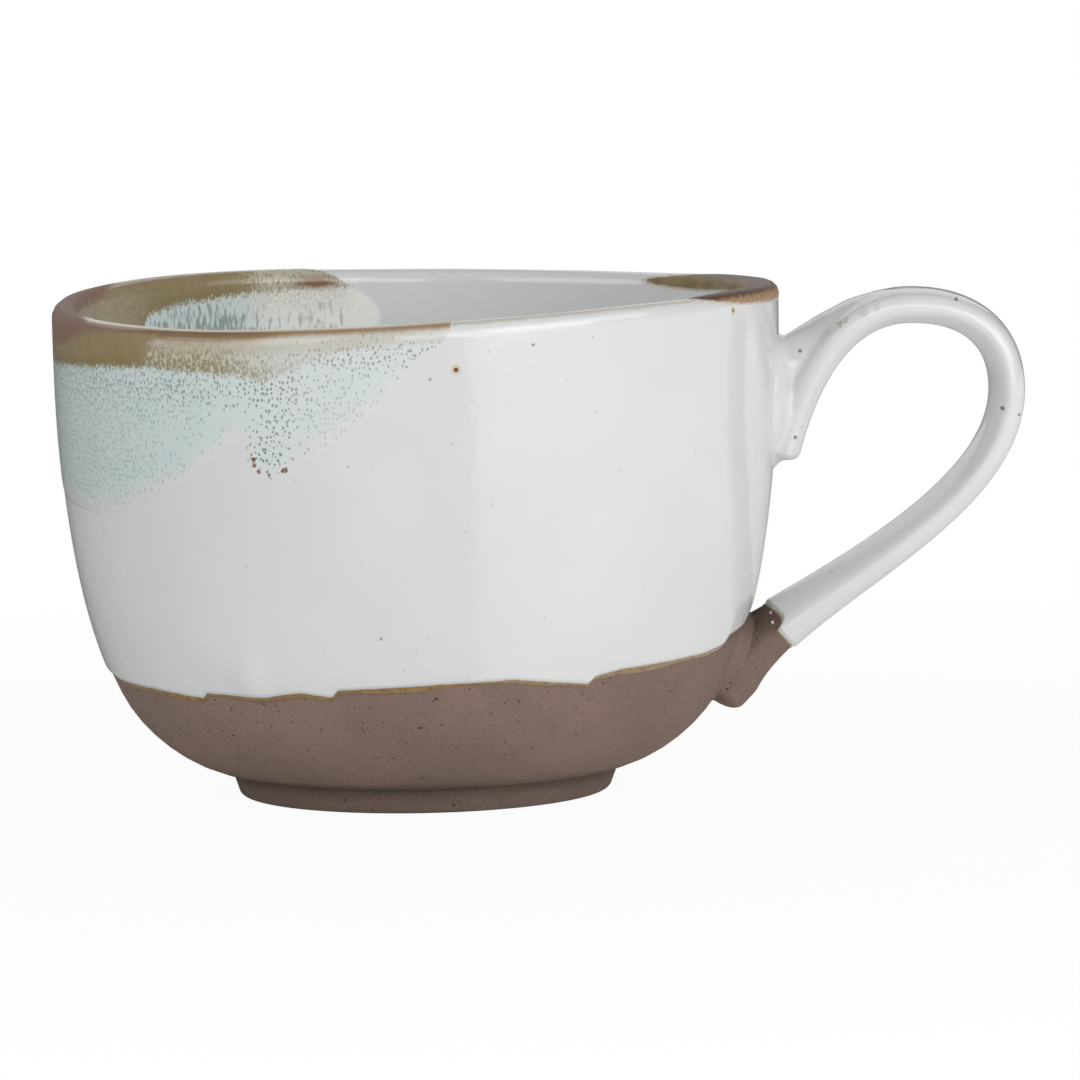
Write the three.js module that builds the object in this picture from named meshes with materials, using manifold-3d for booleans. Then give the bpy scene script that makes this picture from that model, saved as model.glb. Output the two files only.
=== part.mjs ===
// A wide stoneware cup. A thrown bowl stands on a luted foot ring, and a pulled strap handle is
// stuck to its wall with two pads of clay. A white glaze coats the bowl and the handle down to a
// wavering line, and two dips of a second glaze lie over the rim.
// Millimetres and degrees. The cup stands on z = 0 and its handle points along +X. Angles round
// the bowl are counted from the handle, anticlockwise from above.
import * as THREE from "three";
import { mergeVertices } from "three/addons/utils/BufferGeometryUtils.js";
import Module from "manifold-3d";

const wasm = await Module();
wasm.setup();

// Bowl
const rimRadius = 52.5; // over the glaze
const rimHeight = 72; // over the glaze, mean round the rim
const bellyRadius = 43.2; // where the underside turns up into the wall
const bellyHeight = 14.4;
const bellySlope = 61;
const creaseSlope = 8; // of the underside where it leaves the foot
const rimWall = 2.6; // of clay, as are the next two
const bellyWall = 4.2;
const floorThickness = 5.2;
const rimWave = 0.93; // two rises and two falls round the thrown rim
const rimWaveAngle = 164;
const rimTilt = 0.57; // the rim stands higher at the handle

// Foot ring
const footRadius = 26.4; // at the table
const footTopRadius = 28.2; // at the crease under the bowl
const footHeight = 3.6;
const footWall = 5.2;
const footEdge = 0.8; // rounding of the edges at the table

// Handle, a strap that leaves the wall upwards, arches over and comes back lower down
const handleReach = 35.5; // past the rim, over the glaze
const reachDrop = 15; // below the rim, as are the other drops
const crownReach = 18.8; // past the rim, middle of the strap
const crownDrop = 2.9; // middle of the strap
const tailDrop = 24.5; // upper end of the strap, pressed flat to the wall
const tailStandoff = 1.9;
const tailLean = 77.8;
const heelHeight = 17.2; // lower end of the strap
const heelSlope = 46.2;
const heelLength = 5.5; // of the end that is pushed into the wall
const strapThickness = 3.8;
const strapWidth = 12;
const tailThickness = 2.9;
const heelThickness = 10.3;
const heelWidth = 14.5;
const tailTaper = 12;
const heelTaper = 11.5;
const endRound = 2; // how far back each end of the strap is rounded
const endBlunt = 0.9; // 1 would round each end to a point
const webDrop = 7.6; // web of clay behind the strap, between its thumb grooves
const webWidth = 7;
const webStart = 6; // along the strap from its upper end, as is the next
const webRun = 25;
const webEdge = 1.4;

// Pads of clay that lute the handle to the wall
const upperPadDrop = 16.4;
const upperPadSpan = 20;
const upperPadWidth = 18;
const upperPadDepth = 3.2;
const lowerPadHeight = 17.6;
const lowerPadSpan = 16;
const lowerPadWidth = 18;
const lowerPadDepth = 2.4;
const padSink = 1.2; // of each pad's middle under the wall
const luteThickness = 0.6; // of the slip between a pad's wall and the strap's end

// Glazes
const fitGap = 0.25; // between neighbouring pieces
const glazeThickness = 0.45;
const glazeLine = 20.2; // mean height of the white glaze's lower edge
const glazeLineTilt = 1.6;
const glazeLineAngle = 325; // where that edge is highest, apart from the handle
const glazeLineRipple = 0.25;
const glazeLineRipples = 11; // round the bowl
const glazeLineRise = 6.8; // over the strap's lower end
const glazeLineRiseSpread = 13;
const handleGlazeEnd = 15; // along the strap from its lower end
const dipThickness = 0.25;
const leftDip = { angle: 186, halfAngle: 88, depth: 28 }; // middle, extent and depth at the rim
const rightDip = { angle: 1, halfAngle: 43, depth: 2.4 };

// Fullness of the curves: arms at their two ends, as shares of the distance between the ends
const undersideArms = [0.36, 0.28];
const wallArms = [0.24, 0.38];
const insideArms = [0.38, 0.24];
const floorArms = [0.25, 0.5];
const riseArms = [0.425, 0.347]; // strap from the tail to the crown
const fallArms = [0.473, 0.419]; // from the crown to its furthest reach
const returnArms = [0.308, 0.26]; // from there to the heel
const webHollow = 1 / 3; // share of the web's run that its top edge is drawn down

// Fineness of the facets
const turnSteps = 40;
const undersideSteps = 5;
const wallSteps = 7;
const lipSteps = 4;
const insideSteps = 7;
const floorSteps = 4;
const footEdgeSteps = 3;
const strapSteps = 32;
const strapSides = 12;
const webSteps = 4;
const webCurveSteps = 5;
const webEdgeSteps = 2;
const padSides = 16;
const halvings = 30; // of the search for a height on a curve
const mergeDistance = 1e-4;

const reachHeight = rimHeight - reachDrop;
const crownHeight = rimHeight - crownDrop;
const tailHeight = rimHeight - tailDrop;
const webHeight = rimHeight - webDrop;
const upperPadHeight = rimHeight - upperPadDrop;
const farPast = 4 * (rimRadius + rimHeight); // a size that clears the whole cup
const coat = fitGap + glazeThickness;
const dipTop = coat + fitGap + dipThickness;
const seat = fitGap + luteThickness + fitGap; // from the wall to the strap's ends
const radians = THREE.MathUtils.degToRad;
const at = (x, y) => new THREE.Vector2(x, y);
const heading = (slope) => at(Math.cos(radians(slope)), Math.sin(radians(slope)));
const up = 90;
const down = -90;
const level = 0;
const inward = 180;
const turnedBack = (slope) => slope - inward;

// A cubic curve with a slope and an arm at each end
function bend(start, startSlope, end, endSlope, [startArm, endArm]) {
  const chord = start.distanceTo(end);
  return new THREE.CubicBezierCurve(
    start,
    start.clone().addScaledVector(heading(startSlope), startArm * chord),
    end.clone().addScaledVector(heading(endSlope), -endArm * chord),
    end,
  );
}

// The clay bowl's skin in section: underside, wall, lip, inside, floor
const clayRim = rimRadius - coat;
const lipRadius = rimWall / 2;
const lipHeight = rimHeight - coat - lipRadius;
const belly = at(bellyRadius, bellyHeight);
const innerBelly = at(
  bellyRadius - bellyWall * Math.sin(radians(bellySlope)),
  bellyHeight + bellyWall * Math.cos(radians(bellySlope)),
);
const crease = at(footTopRadius, footHeight);
const innerRim = at(clayRim - rimWall, lipHeight);
const floorMiddle = at(0, footHeight + floorThickness);
const innerSlope = turnedBack(bellySlope);
const skinCurves = {
  underside: bend(crease, creaseSlope, belly, bellySlope, undersideArms),
  wall: bend(belly, bellySlope, at(clayRim, lipHeight), up, wallArms),
  lip: new THREE.EllipseCurve(clayRim - lipRadius, lipHeight, lipRadius, lipRadius, 0, Math.PI),
  inside: bend(innerRim, down, innerBelly, innerSlope, insideArms),
  floor: bend(innerBelly, innerSlope, floorMiddle, inward, floorArms),
};
const skinSteps = {
  underside: undersideSteps,
  wall: wallSteps,
  lip: lipSteps,
  inside: insideSteps,
  floor: floorSteps,
};

// A point of the skin, at a distance outside the clay
function onSkin(curve, share, offset) {
  const tangent = curve.getTangent(share);
  const point = curve.getPoint(share);
  return at(Math.max(0, point.x + tangent.y * offset), point.y - tangent.x * offset);
}

function skinStretch(name, offset, from = 0, to = 1) {
  const steps = skinSteps[name];
  return Array.from({ length: steps + 1 }, (_, k) =>
    onSkin(skinCurves[name], THREE.MathUtils.lerp(from, to, k / steps), offset));
}

// How far along the wall or the inside a height lies, as a share of that curve
function shareAtHeight(curve, height) {
  const rising = curve.getPoint(1).y > curve.getPoint(0).y;
  let low = 0;
  let high = 1;
  for (let k = 0; k < halvings; k += 1) {
    const middle = (low + high) / 2;
    if (curve.getPoint(middle).y < height === rising) low = middle;
    else high = middle;
  }
  return (low + high) / 2;
}

// The thrown rim isn't level: the bowl's height grows and shrinks round the axis
function thrown(point, angle) {
  const wave = rimWave * Math.sin(2 * angle + radians(rimWaveAngle)) + rimTilt * Math.cos(angle);
  const height = point.y + wave * (point.x / rimRadius) * (point.y / rimHeight) ** 2;
  return new THREE.Vector3(point.x * Math.cos(angle), point.x * Math.sin(angle), height);
}

// A body turned round the axis, whose profile may change with the angle
function turn(profileAt) {
  const count = profileAt(0).length;
  const geometry = new THREE.LatheGeometry(profileAt(0), turnSteps);
  for (let step = 0; step <= turnSteps; step += 1) {
    const angle = (step % turnSteps) * 2 * Math.PI / turnSteps;
    profileAt(angle).forEach((point, k) => {
      geometry.attributes.position.setXYZ(step * count + k, ...thrown(point, angle));
    });
  }
  return geometry;
}

// Moves every vertex of a ready shape
function reshape(geometry, move) {
  const position = geometry.attributes.position;
  for (let k = 0; k < position.count; k += 1) {
    const moved = move(new THREE.Vector3().fromBufferAttribute(position, k));
    position.setXYZ(k, ...moved);
  }
  return geometry;
}

function solid(geometry) {
  const bare = geometry.clone();
  bare.deleteAttribute("normal");
  bare.deleteAttribute("uv");
  const merged = mergeVertices(bare, mergeDistance);
  return new wasm.Manifold(new wasm.Mesh({
    numProp: 3,
    vertProperties: merged.attributes.position.array,
    triVerts: new Uint32Array(merged.index.array),
  }));
}

function geometryOf(body) {
  const { vertProperties, triVerts } = body.getMesh();
  const geometry = new THREE.BufferGeometry();
  geometry.setAttribute("position", new THREE.BufferAttribute(vertProperties, 3));
  geometry.setIndex(new THREE.BufferAttribute(triVerts, 1));
  geometry.computeVertexNormals();
  return geometry;
}

function bowlGeometry() {
  const profile = [
    at(0, footHeight),
    ...skinStretch("underside", 0),
    ...skinStretch("wall", 0).slice(1),
    ...skinStretch("lip", 0).slice(1),
    ...skinStretch("inside", 0).slice(1),
    ...skinStretch("floor", 0).slice(1),
  ];
  return turn(() => profile);
}

function footRingGeometry() {
  const top = footHeight - fitGap;
  const inside = footRadius - footWall;
  const edgeRadius = THREE.MathUtils.lerp(footRadius, footTopRadius, footEdge / footHeight);
  const ring = new THREE.Path();
  ring.moveTo(inside, top);
  ring.lineTo(inside, footEdge);
  ring.quadraticCurveTo(inside, 0, inside + footEdge, 0);
  ring.lineTo(footRadius - footEdge, 0);
  ring.quadraticCurveTo(footRadius, 0, edgeRadius, footEdge);
  ring.lineTo(footTopRadius, top);
  ring.lineTo(inside, top);
  return turn(() => ring.getPoints(footEdgeSteps));
}

// The whole space inside the bowl's outer skin, grown by an offset
function bowlEnvelope(offset) {
  const wall = skinStretch("wall", offset);
  const profile = [
    at(0, footHeight - offset),
    ...skinStretch("underside", offset),
    ...wall.slice(1),
    at(wall.at(-1).x, rimHeight + rimRadius),
    at(0, rimHeight + rimRadius),
  ];
  return solid(turn(() => profile));
}

const wallRadius = (height) => skinCurves.wall.getPoint(shareAtHeight(skinCurves.wall, height)).x;

// Middle line of the strap, from its tail at the wall over the crown down to its heel
const tail = at(wallRadius(tailHeight) + tailStandoff, tailHeight);
const crown = at(rimRadius + crownReach, crownHeight);
const reach = at(rimRadius + handleReach - coat - strapThickness / 2, reachHeight);
const heel = at(wallRadius(heelHeight), heelHeight);
const heelEnd = heel.clone().addScaledVector(heading(heelSlope), -heelLength);
const strapLine = new THREE.CurvePath();
strapLine.add(bend(tail, tailLean, crown, level, riseArms));
strapLine.add(bend(crown, level, reach, down, fallArms));
strapLine.add(bend(reach, down, heel, turnedBack(heelSlope), returnArms));
strapLine.add(new THREE.LineCurve(heel, heelEnd));
const strapLength = strapLine.getLength();

// Middle, direction, outward normal and size of the strap at a length along it
function strapStation(length) {
  const share = THREE.MathUtils.clamp(length / strapLength, 0, 1);
  const tangent = strapLine.getTangent(share);
  const beyond = length - share * strapLength;
  const middle = strapLine.getPoint(share).addScaledVector(tangent, beyond);
  const nearTail = Math.exp(-Math.max(length, 0) / tailTaper);
  const nearHeel = Math.exp(-Math.max(strapLength - heelLength - length, 0) / heelTaper);
  const thickness = strapThickness
    + (tailThickness - strapThickness) * nearTail
    + (heelThickness - strapThickness) * nearHeel;
  const width = strapWidth + (heelWidth - strapWidth) * nearHeel;
  return { middle, along: tangent, normal: at(-tangent.y, tangent.x), thickness, width };
}

// The strap with its ends rounded, grown by an offset
function strap(grow) {
  const run = strapLength + 2 * grow;
  const bar = new THREE.CylinderGeometry(1, 1, 1, strapSides, strapSteps);
  return solid(reshape(bar, (vertex) => {
    const length = (vertex.y + 0.5) * run - grow;
    const { middle, normal, thickness, width } = strapStation(length);
    const fromEnd = Math.min(length + grow, run - grow - length);
    const back = THREE.MathUtils.clamp(1 - fromEnd / endRound, 0, endBlunt);
    const round = Math.sqrt(1 - back * back);
    const spot = middle.addScaledVector(normal, vertex.x * (thickness / 2 + grow) * round);
    return new THREE.Vector3(spot.x, vertex.z * (width / 2 + grow) * round, spot.y);
  }));
}

// The web that fills the corner between the wall and the strap, grown by an offset
function web(grow) {
  const wallSide = wallRadius(webHeight) - rimWall / 2;
  const end = strapStation(webRun);
  const onTop = end.middle.clone().addScaledVector(end.normal, end.thickness / 2 + grow - webEdge);
  const corner = onTop.clone().addScaledVector(end.along, -webRun * webHollow);
  const outline = new THREE.Shape();
  outline.moveTo(wallSide, webHeight - webEdge + grow);
  outline.lineTo(wallRadius(webHeight), webHeight - webEdge + grow);
  outline.quadraticCurveTo(corner.x, corner.y, onTop.x, onTop.y);
  for (let k = webSteps; k >= 0; k -= 1) {
    const { middle } = strapStation(THREE.MathUtils.lerp(webStart, webRun, k / webSteps));
    outline.lineTo(middle.x, middle.y);
  }
  outline.lineTo(wallSide, strapStation(webStart).middle.y);
  const plate = new THREE.ExtrudeGeometry(outline, {
    depth: webWidth - 2 * webEdge + 2 * grow,
    curveSegments: webCurveSteps,
    bevelThickness: webEdge,
    bevelSize: webEdge,
    bevelSegments: webEdgeSteps,
  });
  plate.translate(0, 0, webEdge - grow - webWidth / 2);
  plate.rotateX(Math.PI / 2);
  return solid(plate);
}

const handleBlank = (grow) => strap(grow).add(web(grow));

// A pad of clay pressed on the wall, as a flat round cushion more than half sunk in it
function pad(height, span, width, depth, grow) {
  const share = shareAtHeight(skinCurves.wall, height);
  const middle = onSkin(skinCurves.wall, share, -padSink);
  const tangent = skinCurves.wall.getTangent(share);
  const cushion = new THREE.SphereGeometry(1, padSides, padSides / 2);
  cushion.scale(depth + padSink + grow, width / 2 + grow, span / 2 + grow);
  cushion.rotateY(Math.PI / 2 - Math.atan2(tangent.y, tangent.x));
  cushion.translate(middle.x, 0, middle.y);
  return solid(cushion);
}

const upperPad = (grow) =>
  pad(upperPadHeight, upperPadSpan, upperPadWidth, upperPadDepth, grow);
const lowerPad = (grow) =>
  pad(lowerPadHeight, lowerPadSpan, lowerPadWidth, lowerPadDepth, grow);

const handle = handleBlank(0).subtract(bowlEnvelope(seat));
const handleClearance = handleBlank(fitGap).subtract(bowlEnvelope(seat - fitGap));

function lute(padSolid) {
  return padSolid.subtract(bowlEnvelope(fitGap)).subtract(handleClearance);
}

// Lower edge of the white glaze on the bowl
function glazeEdge(angle) {
  const fromHandle = Math.atan2(Math.sin(angle), Math.cos(angle));
  const rise = Math.exp(-((fromHandle / radians(glazeLineRiseSpread)) ** 2));
  return glazeLine
    + glazeLineTilt * Math.cos(angle - radians(glazeLineAngle))
    + glazeLineRipple * Math.sin(glazeLineRipples * angle)
    + glazeLineRise * rise;
}

// The white coat: up the wall from its edge, over the lip and down to the middle of the floor
function bodyGlaze() {
  const side = (edge, offset) => [
    ...skinStretch("wall", offset, edge),
    ...skinStretch("lip", offset).slice(1),
    ...skinStretch("inside", offset).slice(1),
    ...skinStretch("floor", offset).slice(1),
  ];
  const shell = turn((angle) => {
    const edge = shareAtHeight(skinCurves.wall, glazeEdge(angle));
    return [...side(edge, fitGap).reverse(), ...side(edge, coat)];
  });
  const room = coat + fitGap;
  const roots = handleBlank(room).add(upperPad(room)).add(lowerPad(room));
  return solid(shell).subtract(roots.subtract(bowlEnvelope(0)));
}

// The white coat on the handle and its upper pad, ending in a ring above the strap's heel
function handleGlaze() {
  const { middle, along } = strapStation(strapLength - handleGlazeEnd);
  const heelSide = new THREE.BoxGeometry(farPast, farPast, farPast);
  heelSide.translate(farPast / 2, 0, 0);
  heelSide.rotateY(-Math.atan2(along.y, along.x));
  heelSide.translate(middle.x, 0, middle.y);
  return handleBlank(coat).add(upperPad(coat))
    .subtract(handleBlank(fitGap).add(upperPad(fitGap)))
    .subtract(bowlEnvelope(fitGap))
    .subtract(solid(heelSide));
}

// A dip of the second glaze: a coat over the rim, as far as the cup sank in it when held tilted
function dipGlaze({ angle, halfAngle, depth }) {
  const lowest = lipHeight - lipRadius - depth;
  const side = (offset) => [
    ...skinStretch("wall", offset, shareAtHeight(skinCurves.wall, lowest)),
    ...skinStretch("lip", offset).slice(1),
    ...skinStretch("inside", offset, 0, shareAtHeight(skinCurves.inside, lowest)).slice(1),
  ];
  const loop = [...side(coat + fitGap).reverse(), ...side(dipTop)];
  loop.push(loop[0]);
  const reachToLine = rimRadius * Math.cos(radians(halfAngle));
  const sunk = new THREE.BoxGeometry(farPast, farPast, farPast);
  sunk.translate(0, 0, farPast / 2);
  sunk.rotateY(Math.atan2(depth, rimRadius - reachToLine));
  sunk.translate(reachToLine, 0, rimHeight);
  sunk.rotateZ(radians(angle));
  return solid(turn(() => loop)).intersect(solid(sunk));
}

const clay = new THREE.MeshStandardMaterial({ color: 0x76625a, roughness: 0.9, metalness: 0 });
const slip = new THREE.MeshStandardMaterial({ color: 0x6b584f, roughness: 0.9, metalness: 0 });
const white = new THREE.MeshStandardMaterial({ color: 0xdfe0df, roughness: 0.15, metalness: 0 });
const mint = new THREE.MeshStandardMaterial({ color: 0xbccdc2, roughness: 0.2, metalness: 0 });
const rust = new THREE.MeshStandardMaterial({ color: 0x7d6a52, roughness: 0.25, metalness: 0 });

const cup = new THREE.Group();
const dipReach = rimRadius + dipTop - coat;
cup.position.x = (dipReach - rimRadius - handleReach) / 2; // centres the cup with its handle

function place(name, geometry, material) {
  const mesh = new THREE.Mesh(geometry, material);
  mesh.name = name;
  cup.add(mesh);
}

place("bowl", bowlGeometry(), clay);
place("foot_ring", footRingGeometry(), clay);
place("handle", geometryOf(handle), clay);
place("upper_lute", geometryOf(lute(upperPad(0))), slip);
place("lower_lute", geometryOf(lute(lowerPad(0))), slip);
place("body_glaze", geometryOf(bodyGlaze()), white);
place("handle_glaze", geometryOf(handleGlaze()), white);
place("left_dip_glaze", geometryOf(dipGlaze(leftDip)), mint);
place("right_dip_glaze", geometryOf(dipGlaze(rightDip)), rust);

export default cup;
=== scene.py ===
import math

import bpy
import numpy as np
from mathutils import Matrix, Vector


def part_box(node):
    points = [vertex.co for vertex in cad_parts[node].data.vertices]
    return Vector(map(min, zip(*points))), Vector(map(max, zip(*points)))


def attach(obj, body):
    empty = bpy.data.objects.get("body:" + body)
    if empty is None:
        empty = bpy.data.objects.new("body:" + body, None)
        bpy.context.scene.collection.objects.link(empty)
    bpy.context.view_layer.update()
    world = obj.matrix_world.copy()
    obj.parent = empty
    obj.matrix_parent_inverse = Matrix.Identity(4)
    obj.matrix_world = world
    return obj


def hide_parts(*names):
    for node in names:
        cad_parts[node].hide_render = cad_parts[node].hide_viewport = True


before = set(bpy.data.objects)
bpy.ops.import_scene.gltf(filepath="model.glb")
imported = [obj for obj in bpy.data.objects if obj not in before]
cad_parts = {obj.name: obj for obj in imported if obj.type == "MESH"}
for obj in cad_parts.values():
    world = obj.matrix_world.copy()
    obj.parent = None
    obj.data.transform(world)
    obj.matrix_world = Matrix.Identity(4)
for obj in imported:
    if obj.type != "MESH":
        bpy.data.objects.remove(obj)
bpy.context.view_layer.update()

footLow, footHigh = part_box("foot_ring")
axisX = (footLow.x + footHigh.x) / 2  # the bowl's axis stands left of the middle of the box
print("frame loaded, bowl axis at", round(axisX, 5))


# Shader sums: a wrapped socket adds Math nodes when it is used in an expression
class Flow:
    def __init__(self, tree, socket=None):
        self.tree = tree
        self.socket = socket

    def node(self, kind, settings=None, values=None, output=0):
        made = self.tree.nodes.new(kind)
        for name, setting in (settings or {}).items():
            setattr(made, name, setting)
        for name, value in (values or {}).items():
            if isinstance(value, Flow):
                self.tree.links.new(value.socket, made.inputs[name])
            else:
                made.inputs[name].default_value = value
        return Flow(self.tree, made.outputs[output])

    def math(self, operation, *values):
        return self.node("ShaderNodeMath", {"operation": operation}, dict(enumerate(values)))

    def __add__(self, other):
        return self.math("ADD", self, other)

    __radd__ = __add__

    def __sub__(self, other):
        return self.math("SUBTRACT", self, other)

    def __rsub__(self, other):
        return self.math("SUBTRACT", other, self)

    def __mul__(self, other):
        return self.math("MULTIPLY", self, other)

    __rmul__ = __mul__

    def step(self, low, high):  # 0 at low, 1 at high, with soft ends
        return self.node("ShaderNodeMapRange", {"interpolation_type": "SMOOTHSTEP"},
                         {0: self, 1: low, 2: high})

    def over(self, under, colour):  # this mask lays a colour over another
        return self.node("ShaderNodeMix", {"data_type": "RGBA"}, {0: self, 6: under, 7: colour}, 2)

    def stretched(self, x, y, z):
        return self.node("ShaderNodeVectorMath", {"operation": "MULTIPLY"}, {0: self, 1: (x, y, z)})

    def gapTo(self, spot):
        return self.node("ShaderNodeVectorMath", {"operation": "DISTANCE"}, {0: self, 1: spot}, 1)

    def axis(self, index):
        return self.node("ShaderNodeSeparateXYZ", {}, {0: self}, index)

    def channel(self, index):
        return self.node("ShaderNodeSeparateColor", {}, {0: self}, index)

    def bump(self, strength, distance=0.0006):  # this height as a normal
        return self.node("ShaderNodeBump", {}, {"Strength": strength, "Distance": distance, "Height": self})

    def noise(self, scale, detail=2.0, roughness=0.5):
        return self.node("ShaderNodeTexNoise", {},
                         {"Vector": self, "Scale": scale, "Detail": detail, "Roughness": roughness})

    def cells(self, scale, dimensions):  # gap to the nearest random point, and that point's colour
        values = {"Vector": self, "Scale": scale, "Randomness": 0.95}
        kind = {"voronoi_dimensions": dimensions}
        return [self.node("ShaderNodeTexVoronoi", kind, values, k) for k in (0, 1)]

    def dots(self, scale, least, most, soft=0.08):  # round spots of random size, many of them absent
        gap, mixed = self.cells(scale, "3D")
        size = mixed.channel(0) * (most - least) + least
        return (size - gap).step(0, soft)

    def flecks(self, scale, crowd, size, soft=0.12):  # spots that grow more frequent with the crowd
        gap, mixed = self.cells(scale, "2D")
        here = (crowd - mixed.channel(0)).step(0, 0.15)
        return here * (size * (mixed.channel(1) * 0.5 + 0.5) - gap).step(0, soft)


def colour(red, green, blue):  # written as on a screen, 0 to 255, and kept linear
    shares = [level / 255 for level in (red, green, blue)]
    return tuple(s / 12.92 if s < 0.04045 else ((s + 0.055) / 1.055) ** 2.4 for s in shares) + (1.0,)


def startMaterial(name):
    material = bpy.data.materials.new(name)
    material.use_nodes = True
    flow = Flow(material.node_tree)
    shader = material.node_tree.nodes["Principled BSDF"]
    place = flow.node("ShaderNodeTexCoord", output=3).stretched(1000, 1000, 1000)  # in millimetres
    return material, flow, shader, place


def plug(flow, shader, **values):
    for name, value in values.items():
        target = shader.inputs[name.replace("_", " ")]
        if isinstance(value, Flow):
            flow.tree.links.new(value.socket, target)
        else:
            target.default_value = value


def layered(tone, look, *layers):  # each layer is a mask and the name of its colour
    for mask, name in layers:
        tone = mask.over(tone, look[name])
    return tone


def attributes(flow, *names):
    return [flow.node("ShaderNodeAttribute", {"attribute_name": name}, output=2) for name in names]


def sideSpot(across, height):  # millimetres from the bowl's axis and from the table, seen from the side
    return (1000 * axisX + across, 0, height)


# Mesh helpers
def selectOnly(*pieces):
    bpy.ops.object.select_all(action="DESELECT")
    for piece in pieces:
        piece.select_set(True)
    bpy.context.view_layer.objects.active = pieces[0]


def nameActive(name):
    piece = bpy.context.object
    piece.name = name
    piece.data.name = name
    return piece


def startPiece(name):
    bpy.ops.object.select_all(action="DESELECT")
    bpy.ops.mesh.primitive_plane_add(size=0.001)
    return nameActive(name)


def startGrid(name, columns, rows):
    bpy.ops.object.select_all(action="DESELECT")
    bpy.ops.mesh.primitive_grid_add(x_subdivisions=columns, y_subdivisions=rows, size=2)
    return nameActive(name)


def drawLine(name, spots):  # a row of extruded points, left in edit mode
    piece = startPiece(name)
    bpy.ops.object.mode_set(mode="EDIT")
    bpy.ops.mesh.merge(type="CENTER")
    bpy.ops.transform.translate(value=spots[0])
    for before, after in zip(spots, spots[1:]):
        move = [b - a for a, b in zip(before, after)]
        bpy.ops.mesh.extrude_region_move(TRANSFORM_OT_translate={"value": move})
    bpy.ops.mesh.select_all(action="SELECT")
    return piece


def editAll():
    bpy.ops.object.mode_set(mode="EDIT")
    bpy.ops.mesh.select_all(action="SELECT")


def closeMesh():  # faces outwards, back to object mode
    bpy.ops.mesh.select_all(action="SELECT")
    bpy.ops.mesh.normals_make_consistent(inside=False)
    bpy.ops.object.mode_set(mode="OBJECT")


def cutOff(spot, direction):  # the active piece loses all that lies that way
    editAll()
    bpy.ops.mesh.bisect(plane_co=spot, plane_no=direction, use_fill=True, clear_outer=True)
    bpy.ops.object.mode_set(mode="OBJECT")


def spinPiece(name, profile, steps):  # a section spun round the bowl's axis
    piece = drawLine(name, [(axisX + across, 0, up) for across, up in profile])
    bpy.ops.mesh.spin(steps=steps, angle=2 * math.pi, center=(axisX, 0, 0), axis=(0, 0, 1))
    bpy.ops.mesh.select_all(action="SELECT")
    bpy.ops.mesh.remove_doubles(threshold=1e-6)
    closeMesh()
    return piece


def points(piece):
    flat = np.empty(len(piece.data.vertices) * 3)
    piece.data.vertices.foreach_get("co", flat)
    return flat.reshape(-1, 3)


def movePoints(piece, places):
    piece.data.vertices.foreach_set("co", np.asarray(places, float).ravel())
    piece.data.update()


def keepAttribute(piece, name, values):
    made = piece.data.attributes.new(name, "FLOAT", "POINT")
    made.data.foreach_set("value", np.asarray(values, np.float32))


def fromAxis(spots):
    return np.hypot(spots[:, 0] - axisX, spots[:, 1])


def rowsOf(piece, profile):  # which point of the spun profile each vertex came from
    spots = points(piece)
    flat = np.stack([fromAxis(spots), spots[:, 2]], 1)
    gaps = ((flat[:, None, :] - np.asarray(profile)[None, :, :]) ** 2).sum(2)
    return gaps.argmin(1)


def anglesOf(piece):
    spots = points(piece)
    return np.arctan2(spots[:, 1], spots[:, 0] - axisX) % (2 * math.pi)


def finishPiece(piece, material, slot, *nodes):
    piece.data.materials.clear()
    piece.data.materials.append(material)
    selectOnly(piece)
    bpy.ops.object.shade_smooth()
    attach(piece, "root")
    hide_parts(*nodes)
    print("made", piece.name, len(piece.data.polygons), "faces")


def applyModifier(piece, kind, **settings):
    selectOnly(piece)
    modifier = piece.modifiers.new(kind.lower(), kind)
    for name, setting in settings.items():
        setattr(modifier, name, setting)
    bpy.ops.object.modifier_apply(modifier=modifier.name)


# Curves and tables
def smoothStep(values, low, high):
    share = np.clip((values - low) / (high - low), 0, 1)
    return share * share * (3 - 2 * share)


def within(values, spans):  # 1 where all the spans have set in
    return np.prod([smoothStep(values, *span) for span in spans], 0)


def reading(table, places):
    return np.interp(places, *np.array(table).T)


def runsOf(line):
    return np.concatenate([[0], np.cumsum(np.linalg.norm(np.diff(line, axis=0), axis=1))])


def follow(run, runs, line):  # the point that far along a line
    return np.stack([np.interp(run, runs, line[:, k]) for k in (0, 1)], -1)


def headings(line, runs):
    along = np.gradient(line, runs, axis=0)
    return along / np.linalg.norm(along, axis=1)[:, None]


def leftOf(along):
    return np.stack([-along[..., 1], along[..., 0]], -1)


def heading(slope):
    return np.array([math.cos(math.radians(slope)), math.sin(math.radians(slope))])


def bend(start, startSlope, end, endSlope, arms, count=200):  # a cubic curve
    start, end = np.array(start), np.array(end)
    chord = np.linalg.norm(end - start)
    first = start + heading(startSlope) * arms[0] * chord
    second = end - heading(endSlope) * arms[1] * chord
    t = np.linspace(0, 1, count)[:, None]
    return (1 - t) ** 3 * start + 3 * (1 - t) ** 2 * t * first + 3 * (1 - t) * t ** 2 * second + t ** 3 * end


# Camera
cameraView = {
    "lens": 306.2,  # millimetres, a long lens
    "distance": 1.3323,
    "height": 0.036,  # half the cup's height, which the view's slope is taken from
    "slope": 6.145,
    "aim": (0.01737, 0, 0.03601),  # middle of the picture, from the bowl's axis
    "roll": -1.164,  # the right side of the picture stands a little higher
}


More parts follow.
